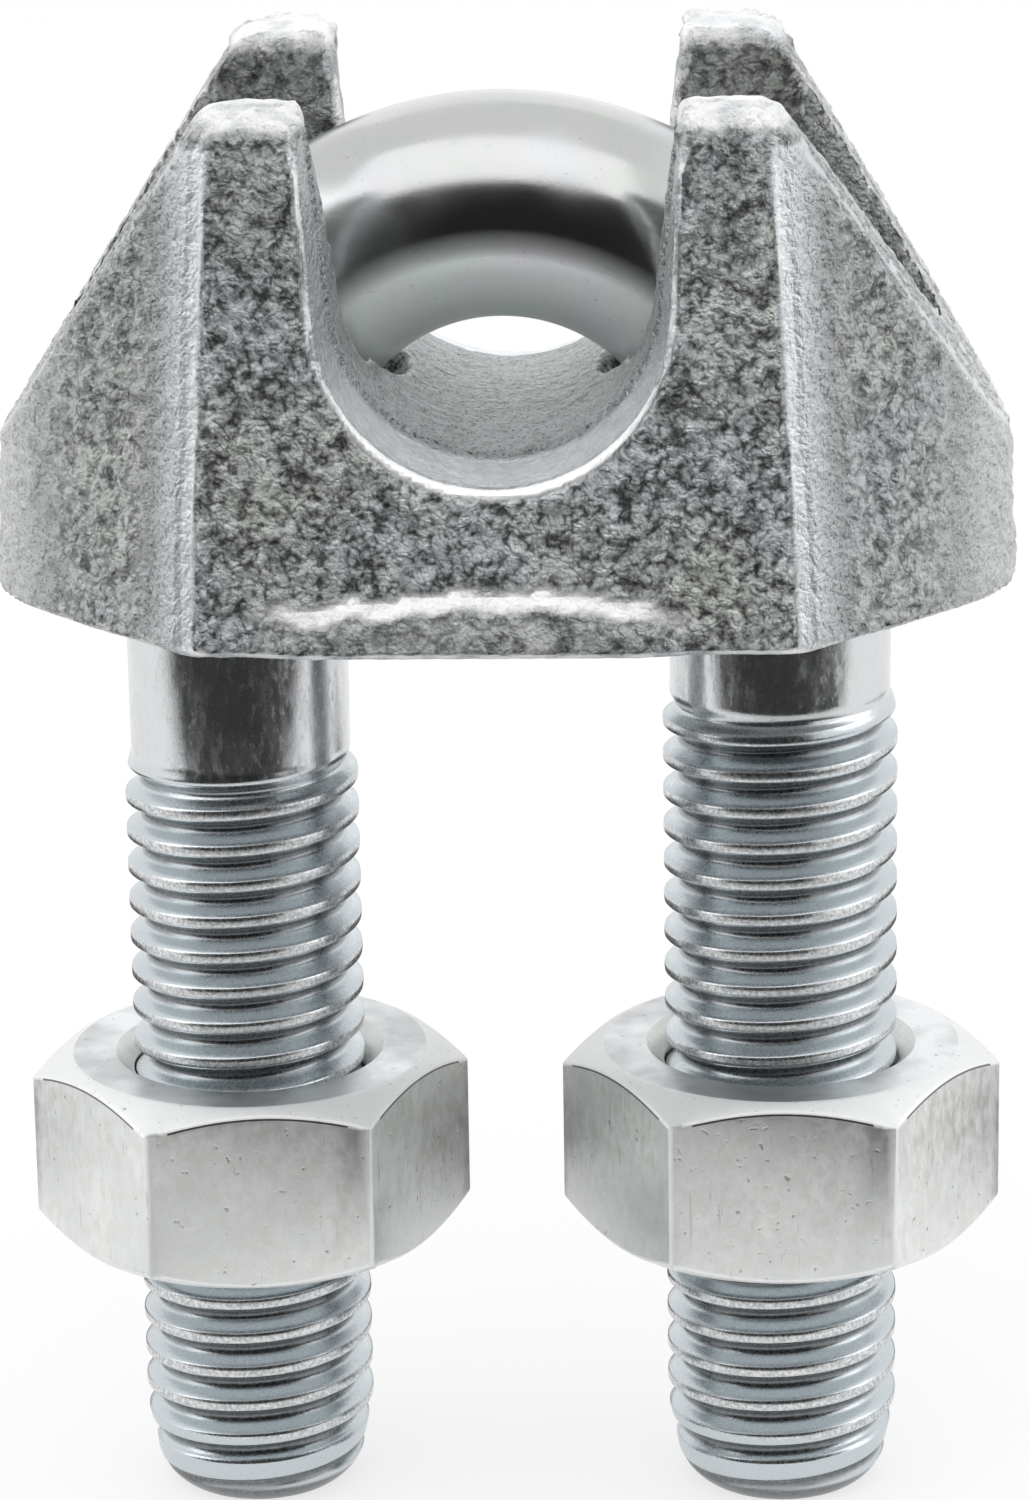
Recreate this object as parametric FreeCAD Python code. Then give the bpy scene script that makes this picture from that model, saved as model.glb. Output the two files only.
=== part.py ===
import FreeCAD, Part
import math
import os

# Wire rope clip for 10 mm rope: a U-bolt, a cast saddle and two hex nuts.
#
# Millimetres. Z points up along the legs towards the bow, X runs from leg to leg and Y along the
# rope. The origin is midway between the legs, level with their ends.

V = FreeCAD.Vector
UP = V(0, 0, 1)

# U-bolt
SHANK_D = 7.4                  # plain bar, rolled thread grows out of it
THREAD_D = 7.9                 # over the crests of M8
LEG_SPACING = 18.2
BOW_CENTRE_Z = 36.0
THREAD_TOP_Z = {"left": 26.8, "right": 28.8}
THREAD_RUN_OUT = 0.6           # cone from the crests up to the plain bar
THREAD_PITCH = 1.25
THREAD_DEPTH = 0.64            # from the crests to the roots
LEG_TIP_D = 5.2                # flat at the end of each leg
LEG_TIP_ROUND = 1.5            # height of the rounded tip
LEG_TIP_TAPER = 1.4            # height of the slight taper above it
LEG_TIP_TAPER_D = 7.3

# nuts
NUT_ACROSS_FLATS = 13.0
NUT_HEIGHT = 6.5
NUT_FACE_D = 12.2              # flat ring left inside the chamfer
NUT_CHAMFER_ANGLE = 30.0
NUT_COUNTERSINK_D = 9.2
NUT_CLEARANCE = 0.05           # radial, on the crests
NUT_BOTTOM_Z = {"left": 9.3, "right": 9.45}
NUT_TURN = {"left": 6.6, "right": 0.1}       # degrees, how each nut was left standing

# saddle, heights measured from its underside
SADDLE_BOTTOM_Z = 32.25
SADDLE_HEIGHT = 17.75
FRONT_HALF_WIDTH = 10.0        # flat front face, at the underside
EAR_HALF_WIDTH = 8.95          # the same face at the top of the ears
HALF_DEPTH = 10.7
EAR_HALF_DEPTH = 10.15
END_X = 17.1
END_HALF_DEPTH = 2.6
END_LEAN = 0.9                 # how far the ends lean in over the full height
CORNER_RADIUS = 1.7
END_RADIUS = 6.0
END_WALL_HEIGHT = 6.6          # where the slope from the ear meets the rounded end
SLOPE_FOOT_X = 16.1
SLOPE_TOP_X = 9.0
EAR_ROUND = 0.6                # rounding of the ear tops and sloping edges
FOOT_ROUND = 0.6               # rounding of the lower edge

ROPE_D = 10.0
SEAT_RADIUS = ROPE_D / 2       # groove in the middle of the saddle
SEAT_FLOOR = 6.4
MOUTH_RADIUS = 5.5             # groove where it opens at each face
MOUTH_FLOOR = 5.7
GROOVE_TOP_HALF_WIDTH = 5.9
GROOVE_STATIONS = 9

POCKET_FLOOR = 4.0
POCKET_WALL = 4.5              # from the leg's axis to the slanted inner walls
POCKET_HALF_DEPTH = 4.5        # from the floor up to the flare
POCKET_FLARE_HEIGHT = 11.0     # where the pocket starts to widen towards the ear tops
POCKET_TOP_HALF_DEPTH = 7.0    # at the ear tops, which leaves the ears about 3 mm thick
POCKET_INNER_X = 4.3
POCKET_CORNER_RADIUS = 1.2
POCKET_END_RADIUS = 2.6
LEG_HOLE_D = 8.8
BOW_CLEARANCE = 0.6            # round the bow where it enters the pockets

LEG_X = LEG_SPACING / 2
SIDE = {"left": -1, "right": 1}


def rounded_outline(corners, radii, z):
    """Closed wire at height z through (x, y) corners, each rounded by its own radius or, at 0, sharp."""
    stretches = []
    for i, (corner, radius) in enumerate(zip(corners, radii)):
        c = V(corner[0], corner[1], z)
        before = V(corners[i - 1][0], corners[i - 1][1], z)
        after = V(corners[(i + 1) % len(corners)][0], corners[(i + 1) % len(corners)][1], z)
        a, b = (before - c).normalize(), (after - c).normalize()
        half = a.getAngle(b) / 2
        inward = (a + b).normalize()
        reach = radius / math.tan(half)
        middle = c + inward * (radius / math.sin(half) - radius)
        stretches.append((c + a * reach, middle, c + b * reach))
    edges = []
    for i, (start, middle, end) in enumerate(stretches):
        if radii[i]:
            edges.append(Part.Arc(start, middle, end).toShape())
        edges.append(Part.LineSegment(end, stretches[(i + 1) % len(stretches)][0]).toShape())
    return Part.Wire(edges)


def mirrored_corners(quarter):
    """Corners of a shape that is the same in front and behind, from those with y below 0."""
    return quarter + [(x, -y) for x, y in reversed(quarter)]


def u_bolt():
    """Plain bar bent to a half circle, with a threaded length at the end of each leg."""
    bow = Part.Face(Part.Wire(Part.makeCircle(SHANK_D / 2, V(LEG_X, 0, BOW_CENTRE_Z), UP)))
    solid = bow.revolve(V(0, 0, BOW_CENTRE_Z), V(0, -1, 0), 180)
    for side, sign in SIDE.items():
        solid = solid.fuse(leg(THREAD_TOP_Z[side], sign * LEG_X))
    return solid.removeSplitter()


def leg(thread_top, x):
    """One leg, turned about its own axis: rounded tip, thread as level rings, plain bar."""
    r_tip, r_taper, r_thread, r_bar = (d / 2 for d in (LEG_TIP_D, LEG_TIP_TAPER_D, THREAD_D, SHANK_D))
    bulge = 0.7
    middle = V(x + r_tip + (r_taper - r_tip) * bulge, 0, LEG_TIP_ROUND * (1 - bulge))
    thread = ring_outline(LEG_TIP_ROUND + LEG_TIP_TAPER, thread_top - THREAD_RUN_OUT, r_thread)
    outline = [V(x, 0, 0), V(x + r_tip, 0, 0), V(x + r_taper, 0, LEG_TIP_ROUND),
               *[V(x + radius, 0, z) for radius, z in thread],
               V(x + r_bar, 0, thread_top), V(x + r_bar, 0, BOW_CENTRE_Z), V(x, 0, BOW_CENTRE_Z)]
    edges = [Part.LineSegment(a, b).toShape() for a, b in zip(outline, outline[1:] + outline[:1])]
    edges[1] = Part.Arc(outline[1], middle, outline[2]).toShape()
    return Part.Face(Part.Wire(edges)).revolve(V(x, 0, 0), UP, 360)


def ring_outline(bottom, top, crest):
    """(radius, height) up a threaded length: whole pitches, counted down from its top."""
    points = [(crest, top)]
    for _ in range(int((top - bottom) / THREAD_PITCH)):
        z = points[-1][1]
        points += [(crest - THREAD_DEPTH, z - THREAD_PITCH / 2), (crest, z - THREAD_PITCH)]
    if points[-1][1] > bottom:
        points.append((crest, bottom))
    return points[::-1]


def nut(side):
    """Hex nut with both corners chamfered and a countersunk bore."""
    corner = NUT_ACROSS_FLATS / math.sqrt(3)
    points = [V(corner * math.cos(math.radians(60 * k)), corner * math.sin(math.radians(60 * k)), 0)
              for k in range(7)]
    prism = Part.Face(Part.makePolygon(points)).extrude(V(0, 0, NUT_HEIGHT))
    face_r = NUT_FACE_D / 2
    reach = corner + 1
    drop = (reach - face_r) * math.tan(math.radians(NUT_CHAMFER_ANGLE))
    outline = [(0, 0), (face_r, 0), (reach, drop), (reach, NUT_HEIGHT - drop),
               (face_r, NUT_HEIGHT), (0, NUT_HEIGHT), (0, 0)]
    turned = Part.Face(Part.makePolygon([V(x, 0, z) for x, z in outline]))
    body = prism.common(turned.revolve(V(), UP, 360))
    bore_r = THREAD_D / 2 + NUT_CLEARANCE
    sink = NUT_COUNTERSINK_D / 2 - bore_r
    body = body.cut(Part.makeCylinder(bore_r, NUT_HEIGHT))
    body = body.cut(Part.makeCone(bore_r + sink, bore_r, sink))
    body = body.cut(Part.makeCone(bore_r, bore_r + sink, sink, V(0, 0, NUT_HEIGHT - sink)))
    body.rotate(V(), UP, NUT_TURN[side])
    body.translate(V(SIDE[side] * LEG_X, 0, NUT_BOTTOM_Z[side]))
    return body


def saddle_block():
    """Outside of the casting: six-sided in plan, leaning in as it rises, sloped down to each end."""
    outlines = []
    for height, half_width, half_depth, lean in ((0, FRONT_HALF_WIDTH, HALF_DEPTH, 0),
                                                 (SADDLE_HEIGHT, EAR_HALF_WIDTH,
                                                  EAR_HALF_DEPTH, END_LEAN)):
        end_x, end_y = END_X - lean, END_HALF_DEPTH
        corners = mirrored_corners([(-end_x, -end_y), (-half_width, -half_depth),
                                    (half_width, -half_depth), (end_x, -end_y)])
        radii = [END_RADIUS, CORNER_RADIUS, CORNER_RADIUS, END_RADIUS] * 2
        outlines.append(rounded_outline(corners, radii, height))
    block = Part.makeLoft(outlines, True, True)
    steepness = (SADDLE_HEIGHT - END_WALL_HEIGHT) / (SLOPE_FOOT_X - SLOPE_TOP_X)
    over = 2.0
    top, foot = SADDLE_HEIGHT + over, END_WALL_HEIGHT - over
    top_x, foot_x = SLOPE_TOP_X - over / steepness, SLOPE_FOOT_X + over / steepness
    corners = [(top_x, top), (2 * END_X, top), (2 * END_X, foot), (foot_x, foot), (top_x, top)]
    profile = Part.makePolygon([V(x, -END_X, z) for x, z in corners])
    wedge = Part.Face(profile).extrude(V(0, 2 * END_X, 0))
    other = wedge.mirror(V(), V(1, 0, 0))
    block = block.cut(wedge).cut(other)
    block = block.makeFillet(EAR_ROUND, edges_of(faces_along(block, 0.3, 1)))
    return block.makeFillet(FOOT_ROUND, edges_of(faces_along(block, -1, -0.9)))


def faces_along(solid, least, most):
    """Faces that run straight along the rope with an upward part of their normal in the given range."""
    found = []
    for face in solid.Faces:
        low_u, high_u, low_v, high_v = face.ParameterRange
        normal = face.normalAt((low_u + high_u) / 2, (low_v + high_v) / 2)
        if abs(normal.y) < 1e-6 and least <= normal.z <= most + 1e-6:
            found.append(face)
    return found


def edges_of(faces):
    """The edges of several faces, each one once."""
    found = []
    for face in faces:
        for edge in face.Edges:
            if not any(edge.isSame(other) for other in found):
                found.append(edge)
    return found


def groove():
    """Rope seat through the casting: a U that is crowned in the middle and opens at each mouth."""
    sections = []
    for i in range(GROOVE_STATIONS):
        y = (2 * i / (GROOVE_STATIONS - 1) - 1) * (HALF_DEPTH + 0.6)
        share = abs(y / HALF_DEPTH) ** 3
        radius = SEAT_RADIUS + (MOUTH_RADIUS - SEAT_RADIUS) * share
        floor = SEAT_FLOOR + (MOUTH_FLOOR - SEAT_FLOOR) * share
        top = SADDLE_HEIGHT + 1
        left, right = V(-radius, y, floor + radius), V(radius, y, floor + radius)
        upper_left, upper_right = V(-GROOVE_TOP_HALF_WIDTH, y, top), V(GROOVE_TOP_HALF_WIDTH, y, top)
        sections.append(Part.Wire([Part.LineSegment(upper_left, left).toShape(),
                                   Part.Arc(left, V(0, y, floor), right).toShape(),
                                   Part.LineSegment(right, upper_right).toShape(),
                                   Part.LineSegment(upper_right, upper_left).toShape()]))
    return Part.makeLoft(sections, True, False)


def pocket():
    """Hollow round the right-hand leg, between the front and the rear ear and the slanted walls."""
    apex = LEG_X + POCKET_WALL * math.sqrt(2)
    outlines = []
    for height, half_depth in ((POCKET_FLOOR, POCKET_HALF_DEPTH),
                               (POCKET_FLARE_HEIGHT, POCKET_HALF_DEPTH),
                               (SADDLE_HEIGHT + 1, POCKET_TOP_HALF_DEPTH)):
        corner_x = apex - half_depth
        corners = [(POCKET_INNER_X, -half_depth), (corner_x, -half_depth), (apex, 0),
                   (corner_x, half_depth), (POCKET_INNER_X, half_depth)]
        radii = [0, POCKET_CORNER_RADIUS, POCKET_END_RADIUS, POCKET_CORNER_RADIUS, 0]
        outlines.append(rounded_outline(corners, radii, height))
    hollow = Part.makeLoft(outlines, True, True)
    hole = Part.makeCylinder(LEG_HOLE_D / 2, SADDLE_HEIGHT, V(LEG_X, 0, -1), UP)
    return hollow.fuse(hole)


def saddle():
    """The casting in place under the bow."""
    body = saddle_block().cut(groove())
    hollow = pocket()
    body = body.cut(hollow).cut(hollow.mirror(V(), V(1, 0, 0)))
    body.translate(V(0, 0, SADDLE_BOTTOM_Z))
    room = Part.makeTorus(LEG_X, SHANK_D / 2 + BOW_CLEARANCE, V(0, 0, BOW_CENTRE_Z), V(0, 1, 0))
    return body.cut(room)


def main():
    os.makedirs("parts", exist_ok=True)
    pieces = {"u_bolt": u_bolt(), "saddle": saddle(), "nut_left": nut("left"), "nut_right": nut("right")}
    for name, shape in pieces.items():
        print(name, shape.isValid(), len(shape.Solids), round(shape.Volume, 2), shape.BoundBox)
        shape.exportStep("parts/" + name + ".step")


main()
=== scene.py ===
import math

import bmesh
import bpy
from bpy.props import FloatProperty, FloatVectorProperty, IntProperty, PointerProperty
from mathutils import Matrix, Vector, noise


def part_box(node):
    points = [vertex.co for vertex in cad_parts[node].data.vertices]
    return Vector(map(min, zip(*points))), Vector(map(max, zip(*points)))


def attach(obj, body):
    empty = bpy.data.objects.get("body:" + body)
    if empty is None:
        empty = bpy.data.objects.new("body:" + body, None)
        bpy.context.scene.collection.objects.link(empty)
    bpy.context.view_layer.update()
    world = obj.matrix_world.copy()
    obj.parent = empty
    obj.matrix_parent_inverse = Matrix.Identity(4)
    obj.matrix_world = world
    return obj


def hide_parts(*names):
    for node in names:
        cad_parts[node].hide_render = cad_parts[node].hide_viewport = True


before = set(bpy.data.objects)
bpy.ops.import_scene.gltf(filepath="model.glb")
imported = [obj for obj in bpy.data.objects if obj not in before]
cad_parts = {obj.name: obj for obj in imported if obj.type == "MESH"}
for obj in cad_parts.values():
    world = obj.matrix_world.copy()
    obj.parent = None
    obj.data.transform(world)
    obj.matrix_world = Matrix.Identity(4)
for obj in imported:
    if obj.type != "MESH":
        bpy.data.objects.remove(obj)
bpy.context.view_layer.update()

bl_info = {
    "name": "Wire Rope Clip",
    "version": (1, 0, 0),
    "blender": (4, 5, 0),
    "location": "3D View > Sidebar > Rope Clip",
    "description": "Builds a wire rope clip: threaded U-bolt, cast saddle and two hex nuts",
    "category": "Object",
}

MM = 0.001
SIDES = {"left": -1, "right": 1}

# what each face of a nut is, as its material reads it; the narrow faces under the chamfer carry a painted
# shadow line
SHADOW_LINE, FLAT, RING, EDGE, CHAMFER = -1.0, 0.0, 0.5, 0.8, 1.0


def leg_x():
    """How far the axis of each leg stands from the middle."""
    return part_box("u_bolt")[1].x - bpy.context.scene.clip_bolt.crest_diameter / 2


# ---------------------------------------------------------------- sizes and colours


class ClipBoltSizes(bpy.types.PropertyGroup):
    bar_diameter: FloatProperty(name="Bar", description="Diameter of the plain bar",
                                default=7.4 * MM, unit="LENGTH")
    crest_diameter: FloatProperty(name="Thread", description="Diameter over the thread crests",
                                  default=7.9 * MM, unit="LENGTH")
    pitch: FloatProperty(name="Pitch", description="Rise of the thread in one turn",
                         default=1.25 * MM, unit="LENGTH")
    thread_depth: FloatProperty(name="Thread depth", description="From crest to root",
                                default=0.56 * MM, unit="LENGTH")
    bow_height: FloatProperty(name="Bow centre", description="Height where the legs turn into the bow",
                              default=36.0 * MM, unit="LENGTH")
    thread_top_left: FloatProperty(name="Left thread", description="Where the left thread ends",
                                   default=26.8 * MM, unit="LENGTH")
    thread_top_right: FloatProperty(name="Right thread", description="Where the right thread ends",
                                    default=28.8 * MM, unit="LENGTH")
    run_out: FloatProperty(name="Run-out", description="Length over which the thread fades",
                           default=1.2 * MM, unit="LENGTH")
    tip_flat: FloatProperty(name="Tip flat", description="Diameter of the flat end of a leg",
                            default=5.2 * MM, unit="LENGTH")
    tip_round: FloatProperty(name="Tip round", description="Height of the rounded tip",
                             default=1.5 * MM, unit="LENGTH")
    tip_taper: FloatProperty(name="Tip taper", description="Height of the taper above the rounded tip",
                             default=1.4 * MM, unit="LENGTH")
    tip_width: FloatProperty(name="Tip width", description="Diameter where the taper starts",
                             default=7.3 * MM, unit="LENGTH")
    segments: IntProperty(name="Segments", description="Faces round the bar", default=112)
    bow_steps: IntProperty(name="Bow steps", description="Faces along the bow", default=80)
    shank_step: FloatProperty(name="Shank step", description="Length of the faces of the plain legs",
                              default=0.78 * MM, unit="LENGTH")


class ClipNutSizes(bpy.types.PropertyGroup):
    across_flats: FloatProperty(name="Across flats", description="Width of the hexagon",
                                default=13.0 * MM, unit="LENGTH")
    height: FloatProperty(name="Height", description="Height of the nut",
                          default=6.5 * MM, unit="LENGTH")
    face_diameter: FloatProperty(name="Face", description="Flat ring inside the chamfer",
                                 default=12.2 * MM, unit="LENGTH")
    countersink: FloatProperty(name="Countersink", description="Width of the countersink",
                               default=9.2 * MM, unit="LENGTH")
    bore: FloatProperty(name="Bore", description="Diameter inside the thread crests of the nut",
                        default=8.0 * MM, unit="LENGTH")
    chamfer: FloatProperty(name="Chamfer", description="Slope of the chamfer from the face",
                           default=math.radians(30), unit="ROTATION")
    # bevelled edges, which the nut material paints bright as wear and painted highlight
    edge: FloatProperty(name="Edge", description="Width of the worn edges",
                        default=0.32 * MM, unit="LENGTH")
    turn_left: FloatProperty(name="Left turn", description="How the left nut stands",
                             default=math.radians(6.6), unit="ROTATION")
    turn_right: FloatProperty(name="Right turn", description="How the right nut stands",
                              default=math.radians(0.1), unit="ROTATION")


class ClipSaddleSizes(bpy.types.PropertyGroup):
    grain: FloatProperty(name="Grain", description="Width of the lumps of the cast skin",
                         default=0.85 * MM, unit="LENGTH")
    lump_height: FloatProperty(name="Lump height", description="Height of the lumps",
                               default=0.18 * MM, unit="LENGTH")
    flash_height: FloatProperty(name="Flash height", description="Top of the flash line on the faces",
                                default=1.7 * MM, unit="LENGTH")
    flash_depth: FloatProperty(name="Flash depth", description="How far the flash stands proud",
                               default=0.36 * MM, unit="LENGTH")
    face_width: FloatProperty(name="Face", description="Width of the front face at the foot",
                              default=20.6 * MM, unit="LENGTH")
    face_taper: FloatProperty(name="Face taper", description="How much narrower it is at the ear tops",
                              default=2.1 * MM, unit="LENGTH")
    groove_width: FloatProperty(name="Groove", description="Width taken up by the rope groove",
                                default=11.5 * MM, unit="LENGTH")
    groove_floor: FloatProperty(name="Groove floor", description="Height where the rope groove starts",
                                default=5.2 * MM, unit="LENGTH")
    mesh_step: FloatProperty(name="Mesh step", description="Size of the faces of the casting",
                             default=0.2 * MM, unit="LENGTH")


class ClipFinish(bpy.types.PropertyGroup):
    bar: FloatVectorProperty(name="Bar", description="Zinc on the bar", subtype="COLOR", size=3,
                             default=(0.59, 0.605, 0.615))
    # colour for the thread roots: dirt and painted shade in the recesses
    root_grime_and_shade: FloatVectorProperty(name="Roots", description="Dirt in the thread roots",
                                     subtype="COLOR", size=3, default=(0.13, 0.14, 0.15))
    casting: FloatVectorProperty(name="Casting", description="Zinc on the casting",
                                 subtype="COLOR", size=3, default=(0.50, 0.51, 0.50))
    # colour of painted shade in the creases and pits of the cast skin
    casting_crease_shade: FloatVectorProperty(name="Pits", description="Pits of the cast skin",
                                     subtype="COLOR", size=3, default=(0.16, 0.167, 0.165))
    nut: FloatVectorProperty(name="Nut", description="Zinc on the nuts", subtype="COLOR", size=3,
                             default=(0.90, 0.915, 0.90))
    floor: FloatVectorProperty(name="Floor", description="Pale floor", subtype="COLOR", size=3,
                               default=(0.86, 0.86, 0.86))


# ---------------------------------------------------------------- modelling helpers


def fresh(name, add, **sizes):
    """Deselects everything, adds a primitive and names it."""
    bpy.ops.object.select_all(action="DESELECT")
    add(**sizes)
    piece = bpy.context.active_object
    piece.name = piece.data.name = name
    return piece


def only(piece):
    """Makes a piece the only selected and the active one."""
    bpy.ops.object.select_all(action="DESELECT")
    piece.select_set(True)
    bpy.context.view_layer.objects.active = piece


def settle(piece):
    """Moves the object's place and turn into its mesh."""
    only(piece)
    bpy.ops.object.transform_apply(location=True, rotation=True, scale=True)


def apply_modifier(piece, kind, **settings):
    """Adds one modifier with its settings and applies it."""
    only(piece)
    modifier = piece.modifiers.new(kind.title(), kind)
    for key, value in settings.items():
        setattr(modifier, key, value)
    bpy.ops.object.modifier_apply(modifier=modifier.name)


def carve(piece, tool, operation="DIFFERENCE"):
    """Boolean with another solid, which is then removed."""
    apply_modifier(piece, "BOOLEAN", operation=operation, object=tool, solver="EXACT")
    bpy.data.objects.remove(tool)


def select_where(piece, test, kind):
    """In edit mode, selects only the elements that pass the test."""
    bpy.ops.mesh.select_mode(type={"edges": "EDGE", "faces": "FACE"}[kind])
    bpy.ops.mesh.select_all(action="DESELECT")
    mesh = bmesh.from_edit_mesh(piece.data)
    for element in getattr(mesh, kind):
        if test(element):
            element.select_set(True)
    mesh.select_flush_mode()
    bmesh.update_edit_mesh(piece.data)


def close_seams(piece, distance=0.4e-6):
    """Merges doubled points and turns every face outwards."""
    only(piece)
    bpy.ops.object.mode_set(mode="EDIT")
    bpy.ops.mesh.select_all(action="SELECT")
    bpy.ops.mesh.remove_doubles(threshold=distance)
    bpy.ops.mesh.dissolve_degenerate(threshold=distance)
    bpy.ops.mesh.select_all(action="SELECT")
    bpy.ops.mesh.normals_make_consistent(inside=False)
    bpy.ops.object.mode_set(mode="OBJECT")


def store(piece, name, values, domain="POINT"):
    """Keeps one number for each point or face, for the material to read."""
    kept = piece.data.attributes.new(name, "FLOAT", domain)
    kept.data.foreach_set("value", values)


def smoothstep(low, high, x):
    t = min(max((x - low) / (high - low), 0.0), 1.0)
    return t * t * (3 - 2 * t)


def finish_piece(piece, node, body, material):
    """Gives the finished piece its material, and lets it stand for its CAD node."""
    piece.data.materials.clear()
    piece.data.materials.append(material)
    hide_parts(node)
    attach(piece, body)


# ---------------------------------------------------------------- materials


class Nodes:
    """A short way to build a material's node tree."""

    def __init__(self, material):
        material.use_nodes = True
        self.tree = material.node_tree
        self.tree.nodes.clear()
        self.output = self.tree.nodes.new("ShaderNodeOutputMaterial")

    def add(self, kind, inputs=None, **settings):
        node = self.tree.nodes.new("ShaderNode" + kind)
        for key, value in settings.items():
            setattr(node, key, value)
        for key, value in (inputs or {}).items():
            if isinstance(value, bpy.types.NodeSocket):
                self.tree.links.new(value, node.inputs[key])
            else:
                node.inputs[key].default_value = value
        return node

    def object_coords(self):
        return self.add("TexCoord").outputs["Object"]

    def stretched(self, coords, scale, turn=(0, 0, 0)):
        return self.add("Mapping", {"Vector": coords, "Scale": scale, "Rotation": turn}).outputs[0]

    def noise(self, coords, scale, detail, roughness):
        return self.add("TexNoise", {"Vector": coords, "Scale": scale, "Detail": detail,
                                     "Roughness": roughness}).outputs[0]

    def knobs(self, coords, scale, rim):
        """Round knobs, 1 on top of each and 0 beyond its rim."""
        away = self.add("TexVoronoi", {"Vector": coords, "Scale": scale}).outputs[0]
        return self.span(self.times(away, away), 0.02, rim, 1.0, 0.0)

    def span(self, value, low, high, to_low=0.0, to_high=1.0):
        return self.add("MapRange", {0: value, 1: low, 2: high, 3: to_low, 4: to_high}).outputs[0]

    def math(self, operation, a, b):
        return self.add("Math", {0: a, 1: b}, operation=operation).outputs[0]

    def times(self, a, b):
        return self.math("MULTIPLY", a, b)

    def but(self, value):
        """What is left of 1."""
        return self.math("SUBTRACT", 1.0, value)

    def vector(self, operation, a, b, output=0):
        return self.add("VectorMath", {0: a, 1: b}, operation=operation).outputs[output]

    def level(self, coords):
        return self.add("SeparateXYZ", {0: coords}).outputs["Z"]

    def mix(self, factor, a, b):
        """A colour between two others, each a socket or (red, green, blue)."""
        node = self.add("Mix", data_type="RGBA")
        for socket, value in ((node.inputs[0], factor), (node.inputs[6], a), (node.inputs[7], b)):
            if isinstance(value, bpy.types.NodeSocket):
                self.tree.links.new(value, socket)
            else:
                socket.default_value = (*value, 1)
        return node.outputs[2]

    def between(self, factor, a, b):
        """A number between two others."""
        return self.add("Mix", {0: factor, 2: a, 3: b}, data_type="FLOAT").outputs[0]

    def attribute(self, name):
        return self.add("Attribute", attribute_name=name).outputs["Fac"]

    def bump(self, height, distance, strength=1.0, normal=None):
        inputs = {"Height": height, "Distance": distance, "Strength": strength}
        if normal is not None:
            inputs["Normal"] = normal
        return self.add("Bump", inputs).outputs[0]

    def surface(self, **inputs):
        named = {key.replace("_", " "): value for key, value in inputs.items()}
        shader = self.add("BsdfPrincipled", named)
        self.tree.links.new(shader.outputs[0], self.output.inputs["Surface"])


def shade(colour, factor):
    return tuple(min(c * factor, 1.0) for c in colour)


def bar_colour(n, bar, place, legs, inner, mottle, fine):
    """Plain zinc: soft tints on the bow, drawn streaks on the legs; the legs painted paler than the bow and
    the inside of the bow painted pale, both painted reflection.
    """
    broad = n.noise(place, 210, 2, 0.5)
    other = n.noise(n.stretched(place, (1, 1, 1), (0.9, 0.4, 0.2)), 330, 2, 0.5)
    tint = n.mix(n.span(broad, 0.40, 0.60), shade((0.98, 1.0, 0.98), 0.56), shade((0.98, 0.99, 1.02), 0.56))
    tint = n.mix(n.span(other, 0.50, 0.66), tint, shade((1.01, 0.99, 1.0), 0.57))
    colour = n.mix(n.span(mottle, 0.52, 0.66), tint, bar)
    # pale colour inside the bow: a painted reflection of the bright surroundings below
    pale = n.mix(n.span(other, 0.4, 0.6), (0.86, 0.93, 0.88), (0.90, 0.90, 0.93))
    colour = n.mix(inner, colour, pale)
    colour = n.mix(n.span(fine, 0.66, 0.74, 0.0, 0.6), colour, shade(bar, 0.5))
    # the legs are painted paler than the bow: a painted reflection
    return n.mix(legs, colour, shade((0.97, 1.0, 1.02), 0.9))


def thread_colour(n, bar, root, place, fine):
    """Roots darkened with dirt and painted shade, flanks tinted bluish as a painted sky reflection, and
    speckled bright crests.
    """
    crest = n.attribute("crest")
    # the roots get dirt and painted shade
    dirt_and_shade = n.mix(n.span(fine, 0.3, 0.7), root, shade(bar, 0.42))
    # flanks tinted bluish: a painted reflection of the sky
    flank = n.mix(n.span(crest, 0.0, 0.14), dirt_and_shade, shade((0.91, 0.98, 1.02), 0.66))
    speckle = n.span(n.noise(place, 8200, 3, 0.65), 0.42, 0.60)
    top = n.mix(speckle, shade(bar, 0.80), shade((1, 1, 1), 0.80))
    return n.mix(n.span(crest, 0.94, 1.0), flank, top)


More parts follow.
